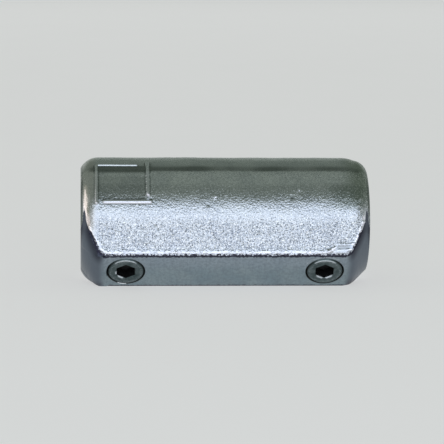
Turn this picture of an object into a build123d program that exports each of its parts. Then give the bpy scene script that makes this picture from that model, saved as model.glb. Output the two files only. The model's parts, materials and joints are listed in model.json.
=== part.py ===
from build123d import *

import os
from math import acos, atan2, cos, degrees, hypot, radians, sin, sqrt, tan

# Inline coupling for two round tubes that meet end to end.
# A cast sleeve has a socket in each end, a stop ring between them, and a flat ridge
# along one side. Each socket has a set screw in the ridge that grips its tube.
# The tube axis is X, the middle of the sleeve is the origin, and the sleeve lies on
# one of the two flanks that run from its round back up to the pad of the ridge.

# Sleeve sizes, in millimetres and degrees
tube_diameter = 42.4
socket_clearance = 0.5
length = 129.0
wall = 6.05
ridge_wall = 9.3
pad_width = 20.4
stop_width = 4.0
stop_height = 2.2
mouth_chamfer = 0.5

# End forms: the cast edge is rounded all the way round, and a turned cone then
# cuts back the ridge, so that it fades out towards the round back
cast_round = 9.0
cast_lip = 1.15
turned_lip = 1.7
turned_angle = 45.0
pad_blend = 8.0

# Set screw sizes
screw_inset = 20.1
screw_diameter = 16.66
thread_clearance = 0.05
screw_length = 9.5
tip_gap = 0.15
rim_chamfer = 0.8
tip_chamfer = 1.3
hole_chamfer = 0.3
key_across_flats = 8.0
key_depth = 5.0
key_lead_in = 0.35
drill_point_depth = 1.2
cup_diameter = 10.0
cup_depth = 1.2

# Sizes that follow from the ones above
socket_radius = tube_diameter / 2 + socket_clearance
outside_radius = socket_radius + wall
pad_height = socket_radius + ridge_wall
corner_radius = hypot(pad_height, pad_width / 2)
socket_depth = (length - stop_width) / 2
stop_radius = socket_radius - stop_height
screw_spacing = length - 2 * screw_inset
screw_radius = screw_diameter / 2
screw_hole_radius = screw_radius + thread_clearance
screw_tip_height = socket_radius + tip_gap
screw_face_height = screw_tip_height + screw_length

# Each flank is tangent to the round back and ends at a corner of the pad
flank_angle = degrees(
    atan2(pad_width / 2, pad_height) + acos(outside_radius / corner_radius)
)

# The lower flank lies flat on the ground, which turns the pad down and to the front
pad_normal = Vector(0, -sin(radians(flank_angle)), -cos(radians(flank_angle)))
across_pad = Vector(0, -cos(radians(flank_angle)), sin(radians(flank_angle)))
section_plane = Plane(origin=(0, 0, 0), x_dir=across_pad, z_dir=(1, 0, 0))
pad_plane = Plane(origin=pad_normal * pad_height, x_dir=(1, 0, 0), z_dir=pad_normal)
pad_axis = Axis((0, 0, 0), pad_normal)


# Sleeve

# The casting is made longer than the sleeve and cut off inside its rounded edge,
# where the flat lip round the socket has the stated width
round_centre_depth = cast_round - wall + cast_lip
end_overrun = cast_round - sqrt(cast_round**2 - round_centre_depth**2)

turned_radius = socket_radius + turned_lip
clear_radius = corner_radius + wall
cone_length = (clear_radius - turned_radius) / tan(radians(turned_angle))
half_length = length / 2

with BuildPart() as sleeve:
    # Round back, tangent flanks and pad in one outline
    with BuildSketch(section_plane) as cross_section:
        with BuildLine() as outline:
            CenterArc((0, 0), outside_radius, 0, 360)
            Line((-pad_width / 2, pad_height), (pad_width / 2, pad_height))
        make_hull()
    extrude(amount=half_length + end_overrun, both=True)

    end_faces = sleeve.faces().filter_by(Axis.X)
    fillet(end_faces.edges(), radius=cast_round)

    # Ends faced to length and turned back to a cone
    with BuildSketch(Plane.XZ) as turned_profile:
        with BuildLine() as turned_outline:
            Polyline(
                (-half_length, 0),
                (-half_length, turned_radius),
                (-half_length + cone_length, clear_radius),
                (half_length - cone_length, clear_radius),
                (half_length, turned_radius),
                (half_length, 0),
                close=True,
            )
        make_face()
    revolve(axis=Axis.X, mode=Mode.INTERSECT)

    # The pad runs over into the cone at each end without an edge
    pad = sleeve.faces().filter_by(GeomType.PLANE).sort_by(pad_axis)[-1]
    pad_ends = pad.edges().filter_by(GeomType.LINE, reverse=True)
    fillet(pad_ends, radius=pad_blend)

    # A socket from each end, up to the ring that stops the tube
    for end, direction in ((half_length, 1), (-half_length, -1)):
        with Locations(Plane(origin=(end, 0, 0), z_dir=(direction, 0, 0))):
            CounterBoreHole(stop_radius, socket_radius, socket_depth)

    faces_along = sleeve.faces().sort_by(Axis.X)
    socket_mouths = [
        lip.edges().filter_by(GeomType.CIRCLE).sort_by(SortBy.RADIUS)[0]
        for lip in (faces_along[0], faces_along[-1])
    ]
    chamfer(socket_mouths, length=mouth_chamfer)

    # Threaded holes through the ridge, one into each socket
    with Locations(pad_plane):
        with GridLocations(screw_spacing, 0, 2, 1):
            Hole(screw_hole_radius, depth=pad_height)
    pad = sleeve.faces().filter_by(GeomType.PLANE).sort_by(pad_axis)[-1]
    chamfer(pad.edges().filter_by(GeomType.CIRCLE), length=hole_chamfer)

sleeve.part.label = "sleeve"


# Set screws


def make_set_screw(x):
    """Headless screw with a key socket in its face and a cup point at its tip."""
    tip_centre = Vector(x, 0, 0) + pad_normal * screw_tip_height
    face_centre = Vector(x, 0, 0) + pad_normal * screw_face_height
    face_plane = Plane(origin=face_centre, x_dir=(1, 0, 0), z_dir=pad_normal)
    profile_plane = Plane(
        origin=tip_centre,
        x_dir=(1, 0, 0),
        z_dir=Vector(1, 0, 0).cross(pad_normal),
    )
    key_corner_radius = key_across_flats / sqrt(3)

    with BuildPart() as screw:
        # Half of the turned outline, from the bottom of the cup to the face
        with BuildSketch(profile_plane):
            with BuildLine():
                Polyline(
                    (0, cup_depth),
                    (cup_diameter / 2, 0),
                    (screw_radius - tip_chamfer, 0),
                    (screw_radius, tip_chamfer),
                    (screw_radius, screw_length - rim_chamfer),
                    (screw_radius - rim_chamfer, screw_length),
                    (0, screw_length),
                    close=True,
                )
            make_face()
        revolve(axis=Axis(tip_centre, pad_normal))

        # Hexagonal socket over a drilled hole, with two flats square to the tube axis
        with BuildSketch(face_plane):
            RegularPolygon(key_across_flats / 2, 6, major_radius=False, rotation=30)
        extrude(amount=-key_depth, mode=Mode.SUBTRACT)
        with Locations(face_plane.offset(-key_depth - drill_point_depth / 2)):
            Cone(
                bottom_radius=0,
                top_radius=key_across_flats / 2,
                height=drill_point_depth,
                mode=Mode.SUBTRACT,
            )
        with Locations(face_plane.offset(-key_lead_in / 2)):
            Cone(
                bottom_radius=key_corner_radius - key_lead_in,
                top_radius=key_corner_radius,
                height=key_lead_in,
                mode=Mode.SUBTRACT,
            )
    return screw


set_screws = {
    "set_screw_left": make_set_screw(-screw_spacing / 2),
    "set_screw_right": make_set_screw(screw_spacing / 2),
}
for name, screw in set_screws.items():
    screw.part.label = name


os.makedirs("parts", exist_ok=True)
export_step(sleeve.part, "parts/sleeve.step")
for name, screw in set_screws.items():
    export_step(screw.part, f"parts/{name}.step")
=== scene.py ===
import json
from math import acos, asin, atan2, copysign, cos, hypot, inf, pi, radians, sin, sqrt, tan

import bmesh
import bpy
import numpy as np
from mathutils import Matrix, Vector, noise


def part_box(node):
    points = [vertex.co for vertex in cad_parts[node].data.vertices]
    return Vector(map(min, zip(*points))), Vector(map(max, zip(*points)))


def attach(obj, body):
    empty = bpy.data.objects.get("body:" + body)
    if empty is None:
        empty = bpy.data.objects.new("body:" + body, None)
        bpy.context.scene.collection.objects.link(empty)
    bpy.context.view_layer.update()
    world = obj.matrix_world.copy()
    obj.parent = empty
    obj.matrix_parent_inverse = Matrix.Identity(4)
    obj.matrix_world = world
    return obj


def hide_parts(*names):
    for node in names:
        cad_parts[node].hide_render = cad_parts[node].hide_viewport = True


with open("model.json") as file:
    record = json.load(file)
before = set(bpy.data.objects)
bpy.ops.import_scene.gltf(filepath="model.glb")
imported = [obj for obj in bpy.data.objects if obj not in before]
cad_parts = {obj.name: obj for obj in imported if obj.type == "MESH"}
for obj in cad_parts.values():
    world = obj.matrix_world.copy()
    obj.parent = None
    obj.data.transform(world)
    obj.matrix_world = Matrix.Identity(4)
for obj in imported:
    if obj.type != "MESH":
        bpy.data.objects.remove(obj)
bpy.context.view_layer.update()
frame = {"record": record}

# Inline tube connector: a rough cast sleeve with a ground ridge, and two set screws.
# Meshes are worked out in millimetres on the section's own axes: x along the tube, a across
# the pad of the ridge towards its upper edge, and b out through the pad.

MM = 0.001
record = frame["record"]
mounts = {mount["name"]: mount for mount in record["mounts"]}

# Sizes that the frame gives
HALF_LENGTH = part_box("sleeve")[1].x / MM
FLOOR_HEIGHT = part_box("sleeve")[0].z
SOCKET_RADIUS = mounts["socket_right"]["dims"]["r_mm"]
SCREW_X = mounts["hex_key_right"]["pos_m"][0] / MM
PAD_NORMAL = Vector(mounts["hex_key_right"]["axis"])
SCREW_FACE = Vector(mounts["hex_key_right"]["pos_m"]).dot(PAD_NORMAL) / MM
ACROSS_PAD = Vector((0, PAD_NORMAL.z, -PAD_NORMAL.y))
TO_FRAME = Matrix((Vector((1, 0, 0)), ACROSS_PAD, PAD_NORMAL)).transposed().to_4x4() @ Matrix.Scale(MM, 4)

# Sizes of the sleeve that its construction gives
OUTSIDE_RADIUS = 27.75
PAD_HEIGHT = 31.0
PAD_HALF_WIDTH = 10.2
STOP_HALF_WIDTH = 2.0
STOP_RADIUS = 19.5
STOP_ROUND = 0.3
STOP_ROUND_INSET = 0.09
MOUTH_CHAMFER = 0.5
CAST_ROUND = 9.0
CAST_LIP = 1.15
TURNED_LIP = 1.7
PAD_BLEND = 8.0
HOLE_RADIUS = 8.38
HOLE_CHAMFER = 0.3
HOLE_THREAD_DEPTH = 0.5
CORNER_ANGLE = atan2(PAD_HALF_WIDTH, PAD_HEIGHT)
CORNER_RADIUS = hypot(PAD_HEIGHT, PAD_HALF_WIDTH)
FLANK_ANGLE = CORNER_ANGLE + acos(OUTSIDE_RADIUS / CORNER_RADIUS)
FLANK_LENGTH = sqrt(CORNER_RADIUS**2 - OUTSIDE_RADIUS**2)
TURNED_RADIUS = SOCKET_RADIUS + TURNED_LIP
ROUND_CENTRE = sqrt(CAST_ROUND**2 - (CAST_ROUND - (OUTSIDE_RADIUS - SOCKET_RADIUS) + CAST_LIP) ** 2)
BLEND_LENGTH = PAD_BLEND * tan(radians(22.5))
BLEND_REACH = PAD_BLEND * 0.7071
PAD_CREASE = CORNER_RADIUS - TURNED_RADIUS + BLEND_LENGTH

# The cone and its edge fade out on the round back: turns from the pad's middle up to which the
# end is ground and its edge is dark, the edge's least depth, and the cone's gain and its turn
GROUND_LIMIT = radians(58)
DARK_EDGE_LIMIT = radians(44)
FADED_CREASE = 2.3
CONE_FADE = 0.2
CONE_FADE_TURN = 0.35

# Sizes of the set screws that their construction gives
SCREW_RADIUS = 8.33
SCREW_LENGTH = 9.5
RIM_CHAMFER = 0.8
TIP_CHAMFER = 1.3
KEY_FLATS = 8.0
KEY_DEPTH = 5.0
KEY_BEVEL = 0.3
DRILL_POINT = 1.2
CUP_RADIUS = 5.0
CUP_DEPTH = 1.2
THREAD_PITCH = 1.337
THREAD_DEPTH = 0.75

# Spacing of the sleeve's mesh
FRONT_SPACING = 0.5
FLANK_SPACING = 0.45
BACK_SPACING = 1.0
FRONT_REACH = radians(140)
WINDOW_REACH = 9.2
WINDOW_CELLS = 22
ROWS_TO_WINDOW = 19
ROWS_TO_CREASE = 4
ROWS_IN_WINDOW = 39
ROWS_TO_MIDDLE = 66
HOLE_ROWS = 34
BORE_CELLS_BEHIND = 60
WELD_DISTANCE = 0.0005

# Closer lines on either side of the pad's edge: across the pad, and down the flank
PAD_EDGE_LINES = np.array([9.6, 9.9, 10.05, PAD_HALF_WIDTH])
FLANK_EDGE_LINES = np.array([0.12, 0.26, 0.42, 0.62, 0.9])

# Slots of the sleeve's materials
CAST, GROUND, BORED, THREADED = range(4)


def smooth(value, low, high):
    """0 below low, 1 above high, and a smooth rise between them."""
    share = np.clip((value - low) / (high - low), 0, 1)
    return share * share * (3 - 2 * share)


def band(value, low, high, edge):
    """1 from low to high, and a smooth fall to 0 over the edge on either side."""
    return smooth(value, low - edge, low) * (1 - smooth(value, high, high + edge))


def bell(value, middle, width):
    """1 at the middle, and a fall to 0 over about twice the width on either side."""
    return np.exp(-(((value - middle) / width) ** 2))


def fallen_in(depth):
    """How far the rounded end of the casting lies inside its full section."""
    run = np.clip(ROUND_CENTRE - depth, 0, None)
    return CAST_ROUND - np.sqrt(CAST_ROUND**2 - run**2)


def cast_radius(depth, angle):
    """Radius of the casting: round back, or one of the two flanks."""
    before_tangent = np.clip(FLANK_ANGLE - np.abs(angle), 0, None)
    return (OUTSIDE_RADIUS - fallen_in(depth)) / np.cos(before_tangent)


def ground_radius(depth, angle):
    """Radius of what is ground off: the pad, the cone at the end, and the blend between."""
    cosine = np.clip(np.cos(angle), 0.2, 1)
    pad = PAD_HEIGHT / cosine
    faded = CONE_FADE * smooth(np.abs(angle), FLANK_ANGLE, FLANK_ANGLE + CONE_FADE_TURN)
    cone = TURNED_RADIUS + depth + faded
    blend_end = pad - TURNED_RADIUS + BLEND_LENGTH
    before_end = np.clip(blend_end - depth, 0, BLEND_REACH)
    blend = pad - PAD_BLEND + np.sqrt(PAD_BLEND**2 - before_end**2)
    return np.where(before_end < BLEND_REACH, blend, np.minimum(cone, pad))


def outer_radius(depth, angle):
    """Radius of the sleeve's outside."""
    return np.minimum(cast_radius(depth, angle), ground_radius(depth, angle))


def past_crease(depth, angle):
    """Distance from the trimmed edge: positive on the casting, negative on ground metal."""
    step = 0.01
    least_slope = 0.05

    def gap(at_depth, at_angle):
        return ground_radius(at_depth, at_angle) - cast_radius(at_depth, at_angle)

    here = gap(depth, angle)
    along = (gap(depth + step, angle) - gap(depth - step, angle)) / (2 * step)
    turn = step / OUTSIDE_RADIUS
    around = (gap(depth, angle + turn) - gap(depth, angle - turn)) / (2 * step)
    return here / np.sqrt(along**2 + around**2 + least_slope)


def crease_depth(angles):
    """Distance from the end, at each angle, at which the cone gives way to the casting."""
    depths = np.linspace(0, PAD_CREASE, 2500)[:, None]
    is_ground = ground_radius(depths, angles) < cast_radius(depths, angles)
    last = np.where(is_ground, depths, 0).max(axis=0)
    crease = np.maximum(last, FADED_CREASE)
    return np.where(np.abs(angles) <= CORNER_ANGLE + 1e-6, PAD_CREASE, crease)


# That distance over half a turn, worked out once
TABLE_ANGLES = np.linspace(0, pi, 2001)
TABLE_CREASE = crease_depth(TABLE_ANGLES)


def column_angles():
    """Angles of the mesh's lines along the sleeve, from the lower side of the screw window."""
    middle = np.linspace(-WINDOW_REACH, WINDOW_REACH, WINDOW_CELLS + 1)

    def flank(spacing):
        last_close = FLANK_EDGE_LINES[-1]
        count = round((FLANK_LENGTH - last_close) / spacing)
        even = np.linspace(last_close, FLANK_LENGTH, count + 1)[1:]
        along = np.concatenate([FLANK_EDGE_LINES, even])
        # Angle from the foot of the radius that meets the flank square
        return FLANK_ANGLE - np.arctan((FLANK_LENGTH - along) / OUTSIDE_RADIUS)

    def arc(start, stop, spacing):
        count = round((stop - start) * OUTSIDE_RADIUS / spacing)
        return np.linspace(start, stop, count + 1)[1:]

    whole = 2 * pi
    return np.concatenate([
        np.arctan2(middle, PAD_HEIGHT),
        np.arctan2(PAD_EDGE_LINES, PAD_HEIGHT),
        flank(FLANK_SPACING),
        arc(FLANK_ANGLE, FRONT_REACH, FRONT_SPACING),
        arc(FRONT_REACH, whole - FLANK_ANGLE, BACK_SPACING),
        whole - flank(BACK_SPACING)[::-1][1:],
        [whole - CORNER_ANGLE],
        whole - np.arctan2(PAD_EDGE_LINES, PAD_HEIGHT)[::-1][1:],
    ])


class Patchwork:
    """Points and faces of several patches, which are welded where they meet."""

    def __init__(self):
        self.points = []
        self.faces = []
        self.slots = []
        self.count = 0

    def add(self, points, faces, slots):
        """Points, faces that count from the first of them, and one slot or one for each face."""
        self.points.append(np.asarray(points, float).reshape(-1, 3))
        self.faces.extend((np.asarray(faces) + self.count).tolist())
        self.slots.extend(np.broadcast_to(slots, len(faces)).tolist())
        self.count += len(self.points[-1])

    def add_grid(self, points, slots, keep=True):
        """Rows of points, each row a closed ring."""
        rows, columns = points.shape[:2]
        index = np.arange(rows * columns).reshape(rows, columns)
        index = np.column_stack([index, index[:, 0]])
        quads = np.stack([index[:-1, :-1], index[:-1, 1:], index[1:, 1:], index[1:, :-1]], axis=-1)
        slots = np.broadcast_to(slots, quads.shape[:2])
        keep = np.broadcast_to(keep, quads.shape[:2])
        self.add(points, quads[keep], slots[keep])

    def add_annulus(self, outer, inner, slots):
        """Triangles between two rings of points round the tube axis."""
        rings = []
        for ring in (outer, inner):
            angles = np.arctan2(ring[:, 1], ring[:, 2]) % (2 * pi)
            order = np.argsort(angles)
            rings.append((order, angles[order]))
        (outer_order, outer_angles), (inner_order, inner_angles) = rings
        faces = []
        i = j = 0
        while i < len(outer) or j < len(inner):
            here = outer_order[i % len(outer)]
            there = inner_order[j % len(inner)] + len(outer)
            outer_next = outer_angles[i] if i < len(outer) else inf
            inner_next = inner_angles[j] if j < len(inner) else inf
            if outer_next <= inner_next:
                faces.append([here, outer_order[(i + 1) % len(outer)], there])
                i += 1
            else:
                faces.append([here, inner_order[(j + 1) % len(inner)] + len(outer), there])
                j += 1
        self.add(np.concatenate([outer, inner]), faces, slots)

    def to_object(self, name, materials):
        """One object of all that was added."""
        mesh = bpy.data.meshes.new(name)
        mesh.from_pydata(np.concatenate(self.points).tolist(), [], self.faces)
        mesh.polygons.foreach_set("material_index", self.slots)
        shape = bmesh.new()
        shape.from_mesh(mesh)
        bmesh.ops.remove_doubles(shape, verts=shape.verts, dist=WELD_DISTANCE)
        bmesh.ops.recalc_face_normals(shape, faces=shape.faces)
        shape.to_mesh(mesh)
        shape.free()
        for material in materials:
            mesh.materials.append(material)
        return new_object(name, mesh)


def boundary_loop(grid, row_start, row_end, column_end):
    """The ring of grid points round a window that starts at column 0."""
    return np.concatenate([
        grid[row_start, :column_end + 1],
        grid[row_start + 1:row_end + 1, column_end],
        grid[row_end, :column_end][::-1],
        grid[row_start + 1:row_end, 0][::-1],
    ])


def two_windows(rows, columns, start, end):
    """Rows of the window round each screw, and which cells are left when both are open."""
    windows = [(start, end), (rows - end, rows - start)]
    keep = np.ones((rows, columns), bool)
    for low, high in windows:
        keep[low:high, :WINDOW_CELLS] = False
    return windows, keep


def thread_groove(height, turn, depth):
    """Depth of a right-hand thread's groove, measured from its crest."""
    phase = (height / THREAD_PITCH - turn / (2 * pi)) % 1
    return depth * (1 - np.abs(2 * phase - 1)) ** 1.2


def sleeve_rows():
    """Shares that place the rows: 0 to 1 over the cone, then 0 to 1 on to the middle."""
    window_start = (HALF_LENGTH - SCREW_X - WINDOW_REACH) / PAD_CREASE
    window_end = (HALF_LENGTH - SCREW_X + WINDOW_REACH - PAD_CREASE) / (HALF_LENGTH - PAD_CREASE)
    over_cone = np.concatenate([
        np.linspace(0, window_start, ROWS_TO_WINDOW + 1),
        np.linspace(window_start, 1, ROWS_TO_CREASE + 1)[1:],
    ])
    even = np.linspace(0, window_end, ROWS_IN_WINDOW - ROWS_TO_CREASE - 1)[1:]
    beyond = np.concatenate([
        [0.25 * even[0], 0.55 * even[0]],
        even,
        np.linspace(window_end, 1, ROWS_TO_MIDDLE + 1)[1:],
    ])
    return over_cone, beyond


def outer_skin(patches):
    """Outside of the sleeve, with a window left open round each screw. Returns the end rings
    and the rings round the two windows."""
    columns = column_angles()
    # The same angles within half a turn of the pad's middle
    angles = (columns + pi) % (2 * pi) - pi
    over_cone, beyond = sleeve_rows()
    crease = crease_depth(angles)
    depth = np.concatenate([
        over_cone[:, None] * crease,
        crease + beyond[:, None] * (HALF_LENGTH - crease),
    ])
    radius = outer_radius(depth, angles)
    half = np.stack([depth - HALF_LENGTH, radius * np.sin(columns), radius * np.cos(columns)], axis=-1)
    other = half[:-1][::-1] * np.array([-1, 1, 1])
    points = np.concatenate([half, other])
    reach = past_crease(depth, angles)
    reach = np.concatenate([reach, reach[:-1][::-1]])
    with_first = np.column_stack([reach, reach[:, 0]])
    mean = (with_first[:-1, :-1] + with_first[1:, :-1] + with_first[:-1, 1:] + with_first[1:, 1:]) / 4
    slots = np.where((mean > 0) | (np.abs(angles) > GROUND_LIMIT), CAST, GROUND)

    start, end = ROWS_TO_WINDOW, ROWS_TO_WINDOW + ROWS_IN_WINDOW
    windows, keep = two_windows(len(points) - 1, len(columns), start, end)
    patches.add_grid(points, slots, keep)
    loops = [boundary_loop(points, low, high, WINDOW_CELLS) for low, high in windows]
    return points[0], points[-1], loops


def window_to_hole(patches, loop, centre):
    """Flat of the pad from the window's edge to the screw hole. Returns the hole's angles."""
    turns = np.arctan2(loop[:, 1], loop[:, 0] - centre)
    rim = HOLE_RADIUS + HOLE_CHAMFER
    circle = np.stack([
        centre + rim * np.cos(turns), rim * np.sin(turns), np.full(len(turns), PAD_HEIGHT),
    ], axis=-1)
    shares = np.array([0, 0.3, 0.6, 0.85, 1])[:, None, None]
    patches.add_grid(loop * (1 - shares) + circle * shares, GROUND)
    return turns


def screw_hole(patches, turns, centre):
    """Chamfer and thread of one screw hole, down to the socket."""
    foot = np.sqrt(SOCKET_RADIUS**2 - (HOLE_RADIUS * np.sin(turns)) ** 2)
    top = PAD_HEIGHT - HOLE_CHAMFER
    share = np.linspace(0, 1, HOLE_ROWS)[:, None]
    height = top + (foot - top) * share
    fade = smooth(height, foot, foot + 1.0) * smooth(top - height, 0, 0.4)
    radius = HOLE_RADIUS + fade * thread_groove(height, turns, HOLE_THREAD_DEPTH)
    height = np.concatenate([np.full((1, len(turns)), PAD_HEIGHT), height])
    radius = np.concatenate([np.full((1, len(turns)), HOLE_RADIUS + HOLE_CHAMFER), radius])
    points = np.stack([
        centre + radius * np.cos(turns), radius * np.sin(turns), height,
    ], axis=-1)
    patches.add_grid(points, THREADED)
    return points[-1]


def bore_outline():
    """Outline of the bore from the right mouth to the middle, as (x, radius), and the rows at
    which the window round the screw starts and ends."""
    window_low = SCREW_X - WINDOW_REACH
    window_high = SCREW_X + WINDOW_REACH
    chamfer_foot = HALF_LENGTH - MOUTH_CHAMFER

    def wall(start, end, cells):
        return [(x, SOCKET_RADIUS) for x in np.linspace(start, end, cells + 1)]

    mouth = [(HALF_LENGTH, SOCKET_RADIUS + MOUTH_CHAMFER), (chamfer_foot, SOCKET_RADIUS)]
    outer_wall = wall(chamfer_foot, window_high, 7)[1:-1]
    window = wall(window_high, window_low, ROWS_IN_WINDOW)
    inner_wall = wall(window_low, STOP_HALF_WIDTH, 18)[1:]
    stop = [
        (STOP_HALF_WIDTH, STOP_RADIUS + STOP_ROUND),
        (STOP_HALF_WIDTH - STOP_ROUND_INSET, STOP_RADIUS + STOP_ROUND_INSET),
        (STOP_HALF_WIDTH - STOP_ROUND, STOP_RADIUS),
    ]
    start = len(mouth) + len(outer_wall)
    return mouth + outer_wall + window + inner_wall + stop, start, start + len(window) - 1


def window_to_foot(patches, loop, foot):
    """Wall of the socket from the window's edge to the foot of the screw hole."""
    share = np.array([0, 0.5, 1])[:, None]
    loop_angle = np.arctan2(loop[:, 1], loop[:, 2])
    foot_angle = np.arctan2(foot[:, 1], foot[:, 2])
    angle = loop_angle * (1 - share) + foot_angle * share
    along = loop[:, 0] * (1 - share) + foot[:, 0] * share
    wall = np.stack([along, SOCKET_RADIUS * np.sin(angle), SOCKET_RADIUS * np.cos(angle)], axis=-1)
    patches.add_grid(wall, BORED)


def bore(patches, feet):
    """Sockets and stop ring in one turned surface. Returns the two mouths."""
    window_angle = asin(WINDOW_REACH / SOCKET_RADIUS)
    columns = np.concatenate([
        np.linspace(-window_angle, window_angle, WINDOW_CELLS + 1),
        np.linspace(window_angle, 2 * pi - window_angle, BORE_CELLS_BEHIND + 1)[1:-1],
    ])
    right, start, end = bore_outline()
    profile = np.array([(-x, r) for x, r in right] + right[::-1])
    x, radius = profile[:, 0, None], profile[:, 1, None]
    points = np.stack(np.broadcast_arrays(x, radius * np.sin(columns), radius * np.cos(columns)), axis=-1)
    windows, keep = two_windows(len(points) - 1, len(columns), start, end)
    patches.add_grid(points, BORED, keep)
    for (low, high), foot in zip(windows, feet):
        window_to_foot(patches, boundary_loop(points, low, high, WINDOW_CELLS), foot)
    return points[0], points[-1]


# Features of the cast skin. Places are x along the sleeve in millimetres, and degrees up from
# the horizontal on the near side.
PARTING_ANGLE = 61.3
STRIP_ANGLE = 79.0
STRIP_HALF_ANGLE = 17.0

# Plain raised rim round a bare field: each side's two ends, half width, height and polish, which also
# paints a highlight along its crest; shade is painted along the rim's foot
RIM_SIDES = (
    ((-57.5, 24.0), (-57.5, 68.0), 0.75, 0.55, 0.5),
    ((-57.8, 68.1), (-39.4, 68.1), 0.34, 0.55, 0.72),
    ((-34.7, 31.0), (-34.7, 73.0), 0.98, 0.75, 0.38),
    ((-53.8, 24.65), (-33.8, 24.65), 1.04, 0.65, 1.5),
)

# Nicks, each raised with a painted glint, and pits, which are painted dark: place, size and height
NICKS = (
    ((-57.2, 23.2), 0.7, 0.4),
    ((-35.1, 33.0), 0.6, 0.45),
    ((-34.4, 31.2), 0.75, 0.55),
    ((-34.0, 29.6), 0.4, 0.3),
    ((-33.4, 27.6), 0.5, -0.35),
    ((61.5, 6.0), 0.6, 0.45),
    ((61.7, 3.4), 0.45, -0.5),
    ((59.6, 27.0), 0.5, 0.35),
    ((59.0, 21.0), 0.4, 0.3),
    ((-31.2, 2.4), 0.5, -0.35),
    ((-30.3, -0.3), 0.5, -0.35),
    ((-5.0, 29.3), 0.8, 0.3),
    ((-8.1, 21.7), 0.7, -0.3),
    ((32.5, 36.4), 0.7, 0.3),
    ((29.3, 28.4), 0.8, -0.25),
)

# Patch near the right end that a file has gone over, and the burrs that it left
PATCH_LOW = (48.0, -19.5)
PATCH_HIGH = (57.0, -12.5)
BURRS = (
    ((45.2, -18.8), (48.6, -15.6), 0.6, 0.4, 1.0),
    ((48.8, -13.4), (57.2, -12.8), 0.4, 0.15, 0.8),
    ((49.2, -17.4), (56.6, -17.0), 0.4, 0.12, 0.7),
)

# Field inside the rim, painted darker as shade: along the sleeve, and degrees up from the horizontal
FIELD_ALONG = (-56.2, -36.4)
FIELD_UPWARD = (27.0, 66.0)

# Crescent where the left end's trimmed edge fades out, raised and smooth, with a painted highlight:
# degrees up from the horizontal, and distance from the end at its top and at its foot
CRESCENT_FOOT = -4.0
CRESCENT_TOP = 50.0
CRESCENT_TOP_DEPTH = 2.1
CRESCENT_FOOT_DEPTH = 3.4
CRESCENT_WIDTH = 0.9

# Heights and depths of the sleeve's features
SKIN_RISE = 0.05
PEBBLE_HEIGHT = 0.09
LIP_HEIGHT = 0.28
LEDGE_HEIGHT = 0.1
PARTING_DEPTH = 0.22
STRIP_DEPTH = 0.3
PATCH_HEIGHT = 0.14
CRESCENT_HEIGHT = 0.12
UNDERSIDE_DEPTH = 0.3
SCORE_DEPTH = 0.13

# Form of the ends, where the casting departs from the plain cone and rounding
LEFT_END_FULLNESS = 1.8
LEFT_END_ROUND = 0.55
RIGHT_END_SLACK = 0.65

# Distance that counts as far from the trimmed edge
FAR = 9.0


def ridge(at, start, end, half_width, rise, polish_and_highlight):
    """One straight ridge on the skin: its height, its polished crest, which also stands for a painted
    highlight, and 1 at its foot, where shade is painted.
    """
    x = at.x
    arc = np.radians(at.upward) * OUTSIDE_RADIUS
    from_x, to_x = start[0], end[0]
    from_arc, to_arc = np.radians([start[1], end[1]]) * OUTSIDE_RADIUS
    run, lift = to_x - from_x, to_arc - from_arc
    share = np.clip(((x - from_x) * run + (arc - from_arc) * lift) / (run**2 + lift**2), 0, 1)
    distance = np.hypot(x - from_x - share * run, arc - from_arc - share * lift)
    crest = np.clip(1 - (distance / half_width) ** 2, 0, 1) ** 0.7
    foot = bell(distance - half_width, 0.1, 0.35)
    return rise * crest, polish_and_highlight * crest, foot


def ridges(at, sides):
    """Several straight ridges, as one."""
    apart = [ridge(at, *side) for side in sides]
    return [np.maximum.reduce(parts) for parts in zip(*apart)]


def pebbled(points):
    """Pebbled skin of the casting, about -1 to 1."""
    height = np.empty(len(points))
    for k, point in enumerate(points):
        here = Vector(point)
        pebble = 0.45 - noise.voronoi(here / 1.3)[0][0]
        height[k] = 1.4 * pebble + 0.8 * noise.noise(here / 0.8)
    return height


def waves(points, size, seed):
    """Smooth noise of that size in millimetres, about -1 to 1."""
    shift = Vector((seed * 17.0, seed * 5.0, seed * 11.0))
    return np.array([noise.noise(Vector(point) / size + shift) for point in points])


class Places:
    """Where the points of the sleeve lie, on its own terms."""

    def __init__(self, points):
        self.points = points
        self.x = points[:, 0]
        self.depth = HALF_LENGTH - np.abs(self.x)
        self.angle = np.arctan2(points[:, 1], points[:, 2])
        radius = np.hypot(points[:, 1], points[:, 2])
        self.outside = radius > outer_radius(self.depth, self.angle) - 0.02
        # Degrees up from the horizontal on the near side, and the same for near side and back
        y = points[:, 1] * ACROSS_PAD.y + points[:, 2] * PAD_NORMAL.y
        z = points[:, 1] * ACROSS_PAD.z + points[:, 2] * PAD_NORMAL.z
        self.upward = np.degrees(np.arctan2(z, -y))
        self.lift = 90 - np.abs((self.upward + 90) % 360 - 180)
        self.reach = past_crease(self.depth, self.angle)
        turned = np.abs(self.angle)
        self.cast = self.outside & ((self.reach > 1e-3) | (turned > GROUND_LIMIT))
        self.ground = self.outside & ~self.cast
        # Distance from the trimmed edge, which counts as far where the edge fades out
        faded = 2.0 * smooth(turned, DARK_EDGE_LIMIT - 0.15, DARK_EDGE_LIMIT + 0.05)
        near = np.abs(self.reach) + faded
        self.from_edge = np.where(turned > FLANK_ANGLE + 0.2, FAR, near)

    def only(self, chosen):
        """The same places, without the points that aren't chosen."""
        part = object.__new__(Places)
        for name, values in vars(self).items():
            setattr(part, name, values[chosen])
        return part


def mesh_points(mesh):
    """The mesh's vertices as rows of three."""
    points = np.empty(len(mesh.vertices) * 3)
    mesh.vertices.foreach_get("co", points)
    return points.reshape(-1, 3)


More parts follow.
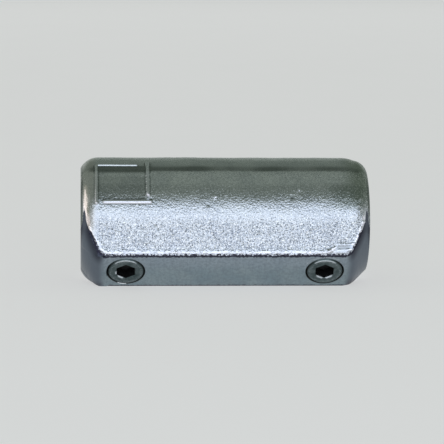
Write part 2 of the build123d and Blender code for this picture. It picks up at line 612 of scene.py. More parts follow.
def split_finer(piece):
    """Splits the faces along the rim and the trimmed edges, where the small forms are."""
    shape = bmesh.new()
    shape.from_mesh(piece.data)
    for cuts in (2, 1):
        middles = Places(np.array([face.calc_center_median() for face in shape.faces]))
        if cuts == 2:
            _, crest, foot = ridges(middles, RIM_SIDES)
            near = middles.cast & ((crest > 0.01) | (foot > 0.2))
        else:
            near = middles.outside & (middles.from_edge < 0.75) & (middles.angle > 0)
        shape.edges.index_update()
        shape.faces.ensure_lookup_table()
        shape.edges.ensure_lookup_table()
        chosen = {edge.index for k in np.flatnonzero(near) for edge in shape.faces[k].edges}
        edges = [shape.edges[k] for k in sorted(chosen)]
        bmesh.ops.subdivide_edges(shape, edges=edges, cuts=cuts, use_grid_fill=True)
    shape.to_mesh(piece.data)
    shape.free()


def crescent_with_highlight(at):
    """1 on the crescent at the left end, a smooth raised band on which a highlight is painted."""
    low = 1 - smooth(at.upward, -2, 32)
    depth = CRESCENT_TOP_DEPTH + (CRESCENT_FOOT_DEPTH - CRESCENT_TOP_DEPTH) * low
    crescent = bell(at.depth, depth, CRESCENT_WIDTH) * (at.x < 0)
    return crescent * band(at.upward, CRESCENT_FOOT + 6, CRESCENT_TOP - 16, 16)


def filed_patch(at):
    """1 on the patch that a file has gone over."""
    patch = band(at.x, PATCH_LOW[0] + 1.5, PATCH_HIGH[0] - 1.5, 1.5)
    return patch * band(at.upward, PATCH_LOW[1], PATCH_HIGH[1] - 1.0, 1.5)


def parting_marks(at):
    """The mould's parting line, a darker band along it and the ledge below it."""
    clear_of_end = smooth(at.depth, 2, 5)
    from_line = at.upward - PARTING_ANGLE
    line = bell(from_line, 0, 2.4) * clear_of_end
    darker_band = bell(from_line, 1.0, 5.0) * clear_of_end
    darker_band *= 1 + 0.8 * waves(at.points, 13.0, 9)
    ledge = bell(from_line, -7.0, 2.5) * clear_of_end
    return line, darker_band, ledge


def ragged_lip(at, ragged):
    """The lip that the grinding left along the trimmed edge, and how bright it is rubbed, which also
    paints the highlight along it.
    """
    on_right = at.x > 0
    slanted = smooth(np.abs(at.angle), CORNER_ANGLE + 0.1, CORNER_ANGLE + 0.3)
    from_edge = np.where(on_right, np.abs(at.reach), at.from_edge)
    uneven = 1 + 0.45 * waves(at.points, 2.2, 5)
    # At the slanted ends the lip is narrower, and nearer to the edge
    from_lip = from_edge + ragged - 1.32 + 0.52 * slanted
    lip = bell(from_lip, 0, 0.86 - 0.36 * slanted) * uneven
    lip *= 1 - smooth(at.upward, 10, 16)
    return lip, 0.45 + 0.5 * slanted * on_right


def add_nicks(at, height, wear_and_painted_light):
    """Adds each nick, which is raised and has a painted glint, and each pit, which is painted dark."""
    for place, size, rise in NICKS:
        across = np.radians(at.upward - place[1]) * OUTSIDE_RADIUS
        nick = bell(np.hypot(at.x - place[0], across), 0, size)
        height += rise * nick
        wear_and_painted_light += copysign(1.0, rise) * nick


def cast_relief(at):
    """Height of the casting's skin, its wear and painted light, which is 1 where rubbed bright and where
    a highlight is painted and -1 where dark and where shade is painted, and its grain, which is 1 where
    rough and 0 where smooth."""
    x = at.x
    rim_height, rim_polish_and_highlight, rim_foot_shade = ridges(at, RIM_SIDES)
    burr_height, burr_polish_and_highlight, burr_foot_shade = ridges(at, BURRS)
    on_rim = np.clip(rim_polish_and_highlight, 0, 1)
    off_rim = 1 - on_rim
    near_left = smooth(-x, HALF_LENGTH - 9, HALF_LENGTH - 6)
    on_strip = band(at.upward, PARTING_ANGLE + 4, 95, 4)
    field = band(x, *FIELD_ALONG, 0.8) * band(at.upward, *FIELD_UPWARD, 2.0)
    # Painted shade along the last millimetre of each end, strongest on the near side
    painted_lip_shade = (1 - smooth(at.depth, 0.9, 1.45)) * (0.3 + 0.65 * band(at.upward, 8, 38, 30))
    patch = filed_patch(at)
    crescent = crescent_with_highlight(at)
    parting, darker_beside_parting, ledge = parting_marks(at)
    ragged = 0.2 * waves(at.points, 1.1, 3) + 0.12 * waves(at.points, 4.0, 4)
    lip, lip_rub_and_highlight = ragged_lip(at, ragged)

    calm = (1 - 0.65 * near_left) * (1 - 0.6 * on_strip) * (1 - 0.8 * patch)
    calm *= 1 - 0.38 * band(at.upward, 11, 45, 9)
    calm *= (1 - 0.9 * on_rim) * (1 - 0.8 * crescent)
    skin = PEBBLE_HEIGHT * calm * pebbled(at.points)
    skin += 0.1 * waves(at.points, 9.0, 1) + 0.2 * waves(at.points, 28.0, 2)

    sunk = np.clip(1 - ((at.upward - STRIP_ANGLE) / STRIP_HALF_ANGLE) ** 2, 0, 1)
    marks = LEDGE_HEIGHT * ledge - PARTING_DEPTH * parting - STRIP_DEPTH * sunk
    height = smooth(at.reach + ragged, -0.1, 0.2) * (skin + LIP_HEIGHT * lip + SKIN_RISE)
    height += smooth(at.depth, 3, 6) * marks
    height += rim_height + burr_height + PATCH_HEIGHT * patch + CRESCENT_HEIGHT * crescent
    slack = bell(at.depth, 5.5, 2.8) * smooth(at.lift, 20, 45)
    height -= RIGHT_END_SLACK * slack * (x > 0)
    # The skin of the lower flank lies inside the plane on which the sleeve rests
    low = smooth(-at.angle, CORNER_ANGLE, CORNER_ANGLE + 0.03)
    low *= 1 - smooth(-at.angle, FLANK_ANGLE + 0.3, FLANK_ANGLE + 0.6)
    height -= UNDERSIDE_DEPTH * low

    # Painted light and shade: highlights on the rim's crests, the lip and the crescent, shade at the
    # rim's foot and along the ends' lips
    wear_and_painted_light = rim_polish_and_highlight - 0.62 * rim_foot_shade * off_rim + lip_rub_and_highlight * lip + 1.6 * crescent - painted_lip_shade
    # Painted shade: the strip along the top is darker; the parting line and the band beside it are darker
    # too, and the ledge lighter
    wear_and_painted_light += (0.2 * ledge - 0.35 * parting - 0.45 * darker_beside_parting - 0.36 * on_strip) * off_rim
    # Painted shade: the field inside the rim is darker
    wear_and_painted_light -= 0.4 * field * off_rim
    # Painted highlight on the burrs' crests and painted shade at their foot; the filed patch is a little
    # darker
    wear_and_painted_light += burr_polish_and_highlight - 0.4 * burr_foot_shade - 0.3 * patch
    add_nicks(at, height, wear_and_painted_light)
    return height, np.clip(wear_and_painted_light, -1, 1), calm * (1 - 0.55 * np.clip(lip, 0, 1))


def left_end_fullness(at):
    """How far the left end's cone stands out past the plain one."""
    share = np.clip(at.depth / np.interp(np.abs(at.angle), TABLE_ANGLES, TABLE_CREASE), 0, 1)
    fullness = LEFT_END_FULLNESS * np.cos(np.clip(2 * at.angle, -pi / 2, pi / 2))
    return np.where(at.x < 0, fullness * 4 * share * (1 - share), 0)


def marks_at_screws(at):
    """Wear from a scratch beside the right screw and a glint on the left hole's rim, and which
    points lie on the rims of the holes."""
    across = at.points[:, 1]
    on_right = at.x > 0
    x_from_screw = np.abs(at.x) - SCREW_X
    from_screw = np.hypot(x_from_screw, across)
    turn = np.degrees(np.arctan2(across, np.where(on_right, x_from_screw, -x_from_screw)))
    scratch = bell(from_screw, 9.6, 0.3) * smooth(turn, 25, 50) * (turn < 150)
    on_hole = from_screw < HOLE_RADIUS + HOLE_CHAMFER + 0.01
    glint = on_hole & ~on_right & (np.abs(turn + 101) < 14)
    return 0.9 * scratch * on_right + glint, on_hole


def ground_relief(at):
    """Height of the ground metal, and its wear and painted glint: faint waves, the ragged score beside
    the trimmed edge, the fuller left end and the marks at the screws."""
    ragged = 0.2 * waves(at.points, 1.1, 8)
    score = 1 - smooth(at.from_edge + ragged, 0.2, 0.45)
    height = 0.012 * waves(at.points, 7.0, 6) + 0.006 * waves(at.points, 2.5, 7) - SCORE_DEPTH * score
    height += left_end_fullness(at)
    wear_and_painted_light, on_hole = marks_at_screws(at)
    height[on_hole] = 0
    return height, wear_and_painted_light


def round_left_end(at, moved):
    """Draws in the rim of the left end along the pad, where the corner is rounder."""
    rounded = LEFT_END_ROUND * np.exp(-at.depth / 0.7) * (1 - smooth(np.abs(at.angle), 0.5, 1.0))
    rounded *= at.outside & (at.x < 0)
    moved[:, 1:] *= (1 - rounded / np.hypot(at.points[:, 1], at.points[:, 2]))[:, None]


def keep_in_bounds(at, moved):
    """Keeps the end faces flat, and all points within the length and above the floor."""
    at_end = at.depth < 1e-4
    moved[at_end, 0] = at.points[at_end, 0]
    moved[:, 0] = np.clip(moved[:, 0], -HALF_LENGTH, HALF_LENGTH)
    up = np.array([ACROSS_PAD.z, PAD_NORMAL.z])
    below = np.clip(FLOOR_HEIGHT / MM - moved[:, 1:] @ up, 0, None)
    moved[:, 1:] += below[:, None] * up


def set_attribute(mesh, name, values):
    """Gives the mesh a number at each vertex, for its materials."""
    mesh.attributes.new(name, "FLOAT", "POINT").data.foreach_set("value", values)


def roughen(piece):
    """Gives the casting its skin, rim and trimmed edges, and the ground metal its faint waves."""
    mesh = piece.data
    points = mesh_points(mesh)
    normals = np.empty(len(points) * 3)
    mesh.vertex_normals.foreach_get("vector", normals)
    at = Places(points)
    height, wear_and_painted_light, grain = np.zeros((3, len(points)))
    height[at.cast], wear_and_painted_light[at.cast], grain[at.cast] = cast_relief(at.only(at.cast))
    height[at.ground], wear_and_painted_light[at.ground] = ground_relief(at.only(at.ground))
    moved = points + normals.reshape(-1, 3) * height[:, None]
    round_left_end(at, moved)
    keep_in_bounds(at, moved)
    mesh.vertices.foreach_set("co", moved.ravel())
    set_attribute(mesh, "trimmed_edge", np.where(at.outside, at.from_edge, FAR))
    set_attribute(mesh, "lift", at.lift)
    set_attribute(mesh, "wear_and_painted_light", wear_and_painted_light)
    set_attribute(mesh, "grain", grain)


def new_object(name, data):
    """An object of that data, in the scene."""
    made = bpy.data.objects.new(name, data)
    bpy.context.scene.collection.objects.link(made)
    return made


def finish_mesh(piece, sharp_degrees):
    """Puts a piece in the frame, in metres, smooth apart from its sharp edges."""
    piece.data.transform(TO_FRAME)
    piece.data.polygons.foreach_set("use_smooth", [True] * len(piece.data.polygons))
    piece.data.set_sharp_from_angle(angle=radians(sharp_degrees))
    piece.data.update()


def make_sleeve(materials):
    """The casting with its pad, ends, screw holes and bore, in one mesh."""
    patches = Patchwork()
    left_end, right_end, loops = outer_skin(patches)
    feet = []
    for loop, centre in zip(loops, (-SCREW_X, SCREW_X)):
        turns = window_to_hole(patches, loop, centre)
        feet.append(screw_hole(patches, turns, centre))
    left_mouth, right_mouth = bore(patches, feet)
    patches.add_annulus(left_end, left_mouth, GROUND)
    patches.add_annulus(right_end, right_mouth, GROUND)
    sleeve = patches.to_object("cast_sleeve", materials)
    split_finer(sleeve)
    roughen(sleeve)
    finish_mesh(sleeve, sharp_degrees=38)
    return sleeve


SCREW_BODY, SCREW_KEY = range(2)
SCREW_COLUMNS = 96
KEY_ROWS = 6
THREAD_ROWS = 46
THREAD_FADE = 0.5
NEAR_AXIS = 0.02

# Heights on the set screws, out from the tube's axis
SCREW_TIP = SCREW_FACE - SCREW_LENGTH
KEY_FLOOR = SCREW_FACE - KEY_DEPTH
THREAD_TOP = SCREW_FACE - RIM_CHAMFER - 0.25
THREAD_FOOT = SCREW_TIP + TIP_CHAMFER

# Places on the screws painted lighter and darker: side, radii, middle and half width of the arc in
# degrees from the tube's axis, and the wear and painted light. The dark rim chamfer is painted shade of
# the groove round the screw, the bright upper arc a painted highlight, and the bright arcs at the key
# socket's edge painted glints
SCREW_WEAR_AND_PAINTED_LIGHT = (
    ("both", 7.65, 8.6, 90, 360, -0.9),
    ("both", 7.2, 7.95, 92, 48, 1.15),
    ("both", 6.2, 7.4, 90, 360, 0.3),
    ("both", 4.4, 6.0, 90, 360, -0.35),
    ("left", 4.0, 4.6, 215, 50, 1.2),
    ("right", 4.0, 4.6, 270, 75, 1.2),
)


def screw_wear_and_painted_light(side, radius, turn):
    """Wear and painted light of a screw's face, by distance from its axis and by degrees round it."""
    wear_and_painted_light = np.zeros(len(radius))
    for which, low, high, middle, half_arc, amount in SCREW_WEAR_AND_PAINTED_LIGHT:
        if which in (side, "both"):
            off_middle = np.abs((turn - middle + 180) % 360 - 180)
            across = smooth(radius, low - 0.12, low + 0.12)
            across *= 1 - smooth(radius, high - 0.12, high + 0.12)
            wear_and_painted_light += amount * across * (1 - smooth(off_middle, half_arc * 0.6, half_arc))
    return np.clip(wear_and_painted_light, -1, 1)


def screw_outline(hexagon, turns, turn_offset):
    """Radius and height of the screw's rows, from the drilled point of its socket to its cup. The
    first KEY_ROWS of them make the socket."""
    face = SCREW_FACE
    flat_edge = SCREW_RADIUS - RIM_CHAMFER
    outline = [
        (NEAR_AXIS, KEY_FLOOR - DRILL_POINT),
        (KEY_FLATS / 4, KEY_FLOOR - DRILL_POINT / 2),
        (KEY_FLATS / 2 - 0.05, KEY_FLOOR),
        (hexagon, KEY_FLOOR),
        (hexagon, face - 3.0),
        (hexagon, face - KEY_BEVEL),
        (hexagon + KEY_BEVEL, face),
        (5.6, face),
        (6.5, face),
        (7.1, face),
        (flat_edge - 0.1, face),
        (flat_edge + 0.05, face - 0.05),
        (flat_edge + 0.25, face - 0.27),
        (SCREW_RADIUS - RIM_CHAMFER / 2, face - 0.46),
        (SCREW_RADIUS - 0.18, face - 0.74),
        (SCREW_RADIUS - 0.03, face - RIM_CHAMFER - 0.1),
        (SCREW_RADIUS, face - RIM_CHAMFER - 0.2),
    ]
    for height in np.linspace(THREAD_TOP, THREAD_FOOT, THREAD_ROWS):
        fade = smooth(THREAD_TOP - height, 0, THREAD_FADE)
        fade *= smooth(height - THREAD_FOOT, 0, THREAD_FADE)
        groove = thread_groove(height, turns + turn_offset, THREAD_DEPTH) * fade
        outline.append((SCREW_RADIUS - groove, height))
    return outline + [
        (SCREW_RADIUS - TIP_CHAMFER + 0.08, SCREW_TIP + 0.08),
        (SCREW_RADIUS - TIP_CHAMFER - 0.1, SCREW_TIP),
        (CUP_RADIUS + 0.1, SCREW_TIP),
        (CUP_RADIUS - 0.1, SCREW_TIP + 0.05),
        (CUP_RADIUS / 2, SCREW_TIP + CUP_DEPTH / 2),
        (NEAR_AXIS, SCREW_TIP + CUP_DEPTH),
    ]


def make_set_screw(side, centre, materials, turn_offset):
    """Headless screw: drilled hexagon socket, turned face, thread and cup point."""
    turns = np.linspace(0, 2 * pi, SCREW_COLUMNS, endpoint=False)
    to_flat = (turns + pi / 6) % (pi / 3) - pi / 6
    hexagon = KEY_FLATS / 2 / np.cos(to_flat)
    outline = screw_outline(hexagon, turns, turn_offset)
    radius = np.array([np.broadcast_to(row[0], SCREW_COLUMNS) for row in outline])
    height = np.array([np.full(SCREW_COLUMNS, row[1]) for row in outline])
    slots = np.where(np.arange(1, len(outline)) < KEY_ROWS, SCREW_KEY, SCREW_BODY)[:, None]
    points = np.stack([centre + radius * np.cos(turns), radius * np.sin(turns), height], axis=-1)
    patches = Patchwork()
    patches.add_grid(points, slots)
    ring = list(range(SCREW_COLUMNS))
    patches.add(points[0], [ring], SCREW_KEY)
    patches.add(points[-1], [ring], SCREW_BODY)
    screw = patches.to_object(f"threaded_screw_{side}", materials)
    x, across, height = mesh_points(screw.data).T
    turn = np.degrees(np.arctan2(across, x - centre))
    wear_and_painted_light = screw_wear_and_painted_light(side, np.hypot(x - centre, across), turn)
    wear_and_painted_light[height < THREAD_TOP - 0.1] = 0
    set_attribute(screw.data, "wear_and_painted_light", wear_and_painted_light)
    finish_mesh(screw, sharp_degrees=30)
    return screw


# Sockets of a Mix node that mixes colours
MIX_SHARE, MIX_FIRST, MIX_SECOND, MIX_RESULT = 0, 6, 7, 2


class Shader:
    """A Principled material and the nodes that feed it."""

    def __init__(self, name, metallic, roughness):
        self.material = bpy.data.materials.new(name)
        self.material.use_nodes = True
        self.tree = self.material.node_tree
        self.surface = self.tree.nodes["Principled BSDF"]
        self.surface.inputs["Metallic"].default_value = metallic
        self.surface.inputs["Roughness"].default_value = roughness
        self.place = self.node("TexCoord").outputs["Object"]

    def node(self, kind, inputs=(), **settings):
        made = self.tree.nodes.new("ShaderNode" + kind)
        for key, value in settings.items():
            setattr(made, key, value)
        for key, value in dict(inputs).items():
            self.feed(made.inputs[key], value)
        return made

    def feed(self, socket, value):
        """Links the socket to another one, or sets its value."""
        if isinstance(value, bpy.types.NodeSocket):
            self.tree.links.new(value, socket)
        else:
            socket.default_value = value

    def noise(self, size, detail, stretch=None, rough=0.5):
        """Noise with features of that size in millimetres."""
        place = self.place
        if stretch is not None:
            place = self.node("Mapping", {"Vector": place, "Scale": stretch}).outputs[0]
        made = self.node(
            "TexNoise",
            {"Vector": place, "Scale": 1 / (size * MM), "Detail": detail, "Roughness": rough},
        )
        return made.outputs["Fac"]

    def cells(self, size):
        """Distance to the nearest of scattered points, that many millimetres apart."""
        made = self.node("TexVoronoi", {"Vector": self.place, "Scale": 1 / (size * MM)})
        return made.outputs["Distance"]

    def position(self, axis):
        """Place along an axis of the frame, in metres."""
        return self.node("SeparateXYZ", {0: self.place}).outputs[axis]

    def attribute(self, name):
        return self.node("Attribute", attribute_name=name).outputs["Fac"]

    def math(self, operation, first, second=0.5, clamp=False):
        made = self.node("Math", {0: first, 1: second}, operation=operation, use_clamp=clamp)
        return made.outputs[0]

    def times(self, first, second):
        return self.math("MULTIPLY", first, second)

    def spread(self, value, from_low, from_high, to_low, to_high):
        """The value taken smoothly from one range to another, and held beyond its ends."""
        inputs = {"Value": value, "From Min": from_low, "From Max": from_high}
        inputs.update({"To Min": to_low, "To Max": to_high})
        made = self.node("MapRange", inputs, interpolation_type="SMOOTHSTEP")
        return made.outputs["Result"]

    def mix(self, share, first, second):
        """A share of the second colour in the first."""
        inputs = {MIX_SHARE: share, MIX_FIRST: first, MIX_SECOND: second}
        return self.node("Mix", inputs, data_type="RGBA").outputs[MIX_RESULT]

    def layered(self, colour, layers):
        """The colour under layers, each a share and the colour that it brings."""
        for share, over in layers:
            colour = self.mix(share, colour, over)
        return colour

    def bump(self, heights):
        """Bumps, each a height that varies by up to 1, with its depth in millimetres."""
        normal = None
        for height, depth in heights:
            made = self.node("Bump", {"Height": height, "Distance": depth * MM, "Strength": 1.0})
            if normal is not None:
                self.feed(made.inputs["Normal"], normal)
            normal = made.outputs["Normal"]
        self.feed(self.surface.inputs["Normal"], normal)

    def finish(self, colour, roughness):
        self.feed(self.surface.inputs["Base Color"], colour)
        self.feed(self.surface.inputs["Roughness"], roughness)
        return self.material


# The oxide skin of a casting keeps its grey where it is seen at a low angle
GRAZING_TINT = (0.69, 0.725, 0.695, 1)
# Near black of the painted shade along the trimmed edge
EDGE_SHADE = (0.03, 0.03, 0.05, 1)


def edge_shade_line(mat, ragged_low, ragged_high, start, end):
    """Share of the ragged line of painted shade along the trimmed edge, beside the score that the
    grinding left.
    """
    ragged = mat.spread(mat.noise(1.0, 2.0), 0.3, 0.7, ragged_low, ragged_high)
    uneven = mat.math("ADD", mat.attribute("trimmed_edge"), ragged)
    return mat.spread(uneven, start, end, 0.95, 0)


def cast_zones(mat, lift, along, left_end, dull):
    """Colour of the casting's zones: its flanks with a painted bluish reflection, darker low down, the
    rise above them painted darker as shade, and its two ends, the right one painted darker as shade.
    """
    blotches = mat.spread(mat.noise(11.0, 3.0), 0.35, 0.65, 0, 1)
    # Painted reflection: a bluish, darker tint on the flanks, strongest low down
    flank_reflection_tint = mat.times(mat.spread(lift, -4.0, 8.0, 0.3, 0.24), mat.spread(lift, 22, 36, 1, 0))
    below_plateau = mat.spread(lift, 38.0, 46.0, 1, 0)
    # Painted shade: the rise between the flanks and the plateau is darker
    rise = mat.times(mat.spread(lift, 20.0, 30.0, 0, 0.42), below_plateau)
    # Painted shade: the right end is darker over the round back, and darker still on its rise above the
    # flank
    right_end = mat.times(mat.spread(along, 0.050, 0.060, 0, 0.95), dull)
    low_right_shade = mat.times(mat.spread(along, 0.042, 0.053, 0, 0.6), below_plateau)
    low_right_shade = mat.times(low_right_shade, mat.spread(lift, 15.0, 22.0, 0, 1))
    return mat.layered((0.57, 0.61, 0.64, 1), (
        (blotches, (0.66, 0.70, 0.72, 1)),
        (flank_reflection_tint, (0.34, 0.38, 0.57, 1)),
        (rise, (0.28, 0.31, 0.31, 1)),
        (mat.times(left_end, 0.6), (0.62, 0.60, 0.58, 1)),
        (right_end, (0.33, 0.375, 0.335, 1)),
        (low_right_shade, (0.20, 0.24, 0.22, 1)),
    ))


def cast_finish():
    """Rough cast aluminium: pale and grainy, duller over the round back."""
    mat = Shader("cast_skin", 1.0, 0.45)
    mat.surface.inputs["Specular Tint"].default_value = GRAZING_TINT
    fine = mat.noise(0.6, 2.0, rough=0.6)
    along = mat.position("X")
    wear_and_painted_light = mat.attribute("wear_and_painted_light")
    lift = mat.attribute("lift")
    grain = mat.attribute("grain")
    dull = mat.spread(lift, 14.0, 36.0, 0, 1)
    vivid = mat.times(mat.spread(dull, 0, 1, 1.0, 0.5), grain)
    left_end = mat.spread(along, -0.0600, -0.0565, 1, 0)

    stains = mat.spread(mat.noise(4.0, 4.0, rough=0.65), 0.55, 0.75, 0, 0.35)
    pits = mat.times(mat.spread(fine, 0.34, 0.48, 0.88, 0), vivid)
    specks = mat.times(mat.spread(fine, 0.53, 0.64, 0, 0.95), vivid)
    # Bright colour of rubbed places and of the painted highlights, pinker at the left end
    rub_and_highlight = mat.mix(left_end, (0.88, 0.89, 1.0, 1), (1.0, 0.91, 0.89, 1))
    colour = mat.layered(cast_zones(mat, lift, along, left_end, dull), (
        (stains, (0.36, 0.38, 0.40, 1)),
        (pits, (0.12, 0.14, 0.18, 1)),
        (specks, (0.94, 0.96, 1.0, 1)),
        (mat.spread(wear_and_painted_light, 0.1, 0.8, 0, 0.92), rub_and_highlight),
        # Near black of dark marks and of the painted shade
        (mat.spread(wear_and_painted_light, -0.9, -0.1, 0.8, 0), (0.10, 0.12, 0.11, 1)),
        (edge_shade_line(mat, -0.5, 0.3, 0.36, 0.64), EDGE_SHADE),
    ))
    pebbles = mat.times(mat.math("SUBTRACT", mat.cells(0.85), 0.4), grain)
    grit = mat.times(mat.math("SUBTRACT", fine, 0.5), grain)
    mat.bump([(pebbles, 0.17), (grit, 0.18)])
    rough = mat.spread(fine, 0.3, 0.7, 0.21, 0.35)
    return mat.finish(colour, mat.math("SUBTRACT", rough, mat.spread(wear_and_painted_light, 0.1, 0.9, 0, 0.12)))


def ground_finish():
    """Ground pad and ends: smooth dark grey, with faint lines that run round the sleeve."""
    mat = Shader("ground_metal", 1.0, 0.35)
    lines = mat.noise(3.0, 4.0, stretch=(9.0, 0.3, 0.3), rough=0.6)
    clouds = mat.noise(9.0, 3.0)
    to_end = mat.spread(mat.math("ABSOLUTE", mat.position("X")), 0.0530, 0.0570, 0, 1)
    mottles = mat.spread(mat.noise(1.3, 3.0, rough=0.65), 0.35, 0.62, 0.42, 0)
    shade = mat.spread(mat.attribute("trimmed_edge"), 0.2, 4.8, 0.95, 0)
    colour = mat.layered((0.244, 0.316, 0.354, 1), (
        (mat.spread(clouds, 0.3, 0.7, 0, 1), (0.296, 0.366, 0.394, 1)),
        # Painted light: the pad is lighter towards its upper edge
        (mat.spread(mat.position("Z"), -0.0220, -0.0140, 0, 0.6), (0.36, 0.42, 0.49, 1)),
        (mat.times(to_end, 0.9), (0.128, 0.15, 0.185, 1)),
        (mat.spread(lines, 0.52, 0.8, 0, 0.4), (0.16, 0.19, 0.22, 1)),
        (mat.spread(mat.noise(0.8, 2.0), 0.6, 0.8, 0, 0.5), (0.15, 0.18, 0.20, 1)),
        (mat.times(mottles, mat.spread(to_end, 0, 1, 1, 0.5)), (0.17, 0.20, 0.23, 1)),
        (mat.spread(mat.attribute("wear_and_painted_light"), 0.1, 0.9, 0, 0.6), (0.55, 0.60, 0.64, 1)),
        (mat.times(shade, to_end), (0.045, 0.05, 0.07, 1)),
        (edge_shade_line(mat, -0.2, 0.2, 0.35, 0.62), EDGE_SHADE),
    ))
    mat.bump([(lines, 0.006), (clouds, 0.02)])
    return mat.finish(colour, mat.spread(lines, 0.3, 0.7, 0.30, 0.42))


def bored_finish():
    """Inside of the sockets: turned aluminium, a little dull."""
    mat = Shader("bored_metal", 1.0, 0.4)
    lines = mat.noise(2.0, 3.0, stretch=(8.0, 0.3, 0.3))
    clouds = mat.noise(8.0, 3.0)
    colour = mat.mix(clouds, (0.42, 0.44, 0.46, 1), (0.56, 0.58, 0.60, 1))
    mat.bump([(lines, 0.02), (clouds, 0.03)])
    return mat.finish(colour, mat.spread(lines, 0.3, 0.7, 0.36, 0.5))


def thread_finish():
    """Walls and chamfers of the screw holes, painted near black as the shade in the groove round each
    screw.
    """
    mat = Shader("thread_metal", 0.8, 0.5)
    thread_noise = mat.noise(0.9, 3.0)
    colour = mat.mix(thread_noise, (0.02, 0.024, 0.024, 1), (0.07, 0.08, 0.08, 1))
    # Painted glint on the rim of the left hole
    colour = mat.mix(mat.spread(mat.attribute("wear_and_painted_light"), 0.2, 0.6, 0, 1), colour, (0.95, 0.97, 1.0, 1))
    mat.bump([(thread_noise, 0.03)])
    return mat.finish(colour, mat.spread(thread_noise, 0.3, 0.7, 0.45, 0.6))


def screw_finish():
    """Dull plated steel: dark at its rim chamfer, which is painted shade of the groove round it, with a
    painted highlight on its upper arc, painted glints at the key socket's edge, and a lighter rubbed ring
    on its face.
    """
    mat = Shader("plated_steel", 1.0, 0.35)
    fine = mat.noise(0.6, 3.0)
    clouds = mat.noise(2.6, 3.0)
    wear_and_painted_light = mat.math("ADD", mat.attribute("wear_and_painted_light"), mat.spread(fine, 0.3, 0.7, -0.15, 0.15))
    colour = mat.layered((0.066, 0.094, 0.098, 1), (
        (mat.spread(clouds, 0.3, 0.7, 0, 1), (0.125, 0.158, 0.164, 1)),
        (mat.spread(wear_and_painted_light, 0.2, 1.0, 0, 0.95), (0.68, 0.74, 0.80, 1)),
        (mat.spread(wear_and_painted_light, -0.8, -0.2, 0.95, 0), (0.035, 0.045, 0.045, 1)),
    ))
    mat.bump([(fine, 0.02), (clouds, 0.03)])
    return mat.finish(colour, mat.spread(fine, 0.3, 0.7, 0.28, 0.42))


def key_shade_finish():
    """Inside of the key socket, painted near black as the shade in its depth."""
    mat = Shader("key_socket_painted_shade", 0.5, 0.5)
    fine = mat.noise(0.7, 2.0)
    colour = mat.mix(fine, (0.006, 0.006, 0.007, 1), (0.02, 0.022, 0.024, 1))
    mat.bump([(fine, 0.02)])
    return mat.finish(colour, mat.spread(fine, 0.3, 0.7, 0.4, 0.6))


# Camera: a long lens, a little above the part and left of its middle
CAMERA_X = -62.0
CAMERA_DISTANCE = 1100.0
CAMERA_ELEVATION = radians(8.9)
CAMERA_TARGET = Vector((-0.4, 0.0, -1.45))
CAMERA_ROLL = radians(0.5)
FOCAL_PIXELS = 2425.5
IMAGE_PIXELS = 444
SENSOR_WIDTH = 36.0


def make_camera():
    """The camera of the photograph, placed and aimed in millimetres."""
    data = bpy.data.cameras.new("camera")
    data.sensor_width = SENSOR_WIDTH
    data.lens = FOCAL_PIXELS / IMAGE_PIXELS * SENSOR_WIDTH
    data.clip_start = 0.01
    data.clip_end = 100
    camera = new_object("camera", data)
    eye = Vector((
        CAMERA_X,
        -CAMERA_DISTANCE * cos(CAMERA_ELEVATION),
        CAMERA_DISTANCE * sin(CAMERA_ELEVATION),
    ))
    aim = (CAMERA_TARGET - eye).to_track_quat("-Z", "Y").to_matrix()
    rolled = (aim @ Matrix.Rotation(CAMERA_ROLL, 3, "Z")).to_4x4()
    camera.matrix_world = Matrix.Translation(eye * MM) @ rolled
    bpy.context.scene.camera = camera


# Floor, in metres: a disc whose rim curves up into a low wall
FLOOR_RADIUS = 3.0
FLOOR_BEND = 0.5
WALL_HEIGHT = 0.7


def floor_finish():
    """Pale matt floor that glows faintly where it is seen."""
    mat = Shader("pale_floor", 0.0, 0.8)
    colour = mat.mix(mat.noise(60.0, 3.0), (0.84, 0.845, 0.85, 1), (0.88, 0.885, 0.89, 1))
    mat.finish(colour, 0.8)
    paths = mat.node("LightPath").outputs
    seen = mat.math("ADD", paths["Is Camera Ray"], paths["Is Glossy Ray"])
    seen = mat.math("ADD", seen, paths["Is Transmission Ray"], clamp=True)
    glow = mat.node("Emission", {"Color": (0.94, 0.945, 0.95, 1), "Strength": 1.0})
    both = mat.node("MixShader", {0: mat.times(seen, 0.55)})
    mat.feed(both.inputs[1], mat.surface.outputs[0])
    mat.feed(both.inputs[2], glow.outputs[0])
    mat.feed(mat.tree.nodes["Material Output"].inputs["Surface"], both.outputs[0])
    return mat.material


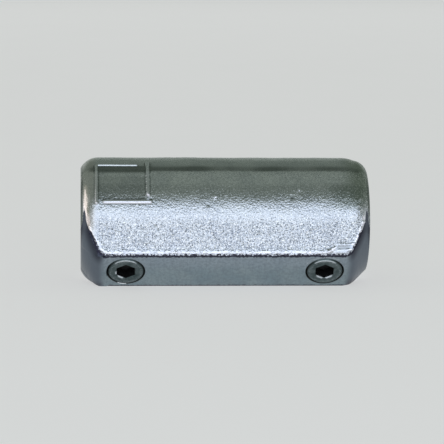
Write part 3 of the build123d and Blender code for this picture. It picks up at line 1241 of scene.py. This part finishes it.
def make_floor():
    """Wide pale floor whose rim curves up into a low wall all round."""
    sides = 96
    bend = [
        (FLOOR_RADIUS + FLOOR_BEND * sin(t), FLOOR_BEND - FLOOR_BEND * cos(t))
        for t in np.linspace(0.2, pi / 2, 8)
    ]
    rings = [(0.5, 0.0), (FLOOR_RADIUS, 0.0), *bend, (FLOOR_RADIUS + FLOOR_BEND, WALL_HEIGHT)]
    turns = np.linspace(0, 2 * pi, sides, endpoint=False)
    points = [(0.0, 0.0, FLOOR_HEIGHT)]
    for radius, height in rings:
        points += [(radius * cos(t), radius * sin(t), FLOOR_HEIGHT + height) for t in turns]
    faces = [(0, 1 + k, 1 + (k + 1) % sides) for k in range(sides)]
    for row in range(len(rings) - 1):
        low = 1 + row * sides
        for k in range(sides):
            after = (k + 1) % sides
            faces.append((low + k, low + sides + k, low + sides + after, low + after))
    mesh = bpy.data.meshes.new("floor")
    mesh.from_pydata(points, [], faces)
    mesh.polygons.foreach_set("use_smooth", [True] * len(faces))
    mesh.materials.append(floor_finish())
    floor = new_object("floor", mesh)


# Lamps: name, azimuth from the camera's side and elevation in degrees, distance, width and
# height in metres, radiance and colour
LAMPS = (
    ("key", 0, 17.5, 1.6, 2.2, 0.94, 1.42, (0.83, 0.89, 1.0)),
    ("rear", 180, 14, 1.9, 2.4, 0.6, 0.25, (1.0, 1.0, 1.0)),
    ("left", -86, 18, 1.7, 1.1, 0.9, 0.65, (1.0, 0.95, 0.93)),
    ("right", 86, 18, 1.7, 0.6, 0.9, 0.3, (1.0, 1.0, 1.0)),
)


def make_light(name, azimuth, elevation, distance, width, height, radiance, colour):
    """Soft rectangular lamp that faces the part."""
    data = bpy.data.lights.new(name, "AREA")
    data.shape = "RECTANGLE"
    data.size, data.size_y = width, height
    data.energy = radiance * pi * width * height
    data.color = colour
    lamp = new_object(name, data)
    turn, lift = radians(azimuth), radians(elevation)
    outward = Vector((
        sin(turn) * cos(lift), -cos(turn) * cos(lift), sin(lift),
    ))
    facing = outward.to_track_quat("Z", "Y").to_matrix().to_4x4()
    lamp.matrix_world = Matrix.Translation(outward * distance) @ facing


def make_lights():
    """The lamps, and the even light of the world round them."""
    for lamp in LAMPS:
        make_light(*lamp)
    world = bpy.data.worlds.new("studio")
    world.use_nodes = True
    background = world.node_tree.nodes["Background"]
    background.inputs["Color"].default_value = (0.88, 1.0, 0.86, 1)
    background.inputs["Strength"].default_value = 0.26
    bpy.context.scene.world = world


bpy.context.scene.view_settings.view_transform = "Standard"
make_camera()

sleeve = make_sleeve([cast_finish(), ground_finish(), bored_finish(), thread_finish()])
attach(sleeve, "sleeve")
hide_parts("sleeve")

screw_materials = [screw_finish(), key_shade_finish()]
for side, sign in (("left", -1), ("right", 1)):
    screw = make_set_screw(side, sign * SCREW_X, screw_materials, sign)
    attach(screw, f"set_screw_{side}")
    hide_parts(f"set_screw_{side}")

make_floor()
make_lights()
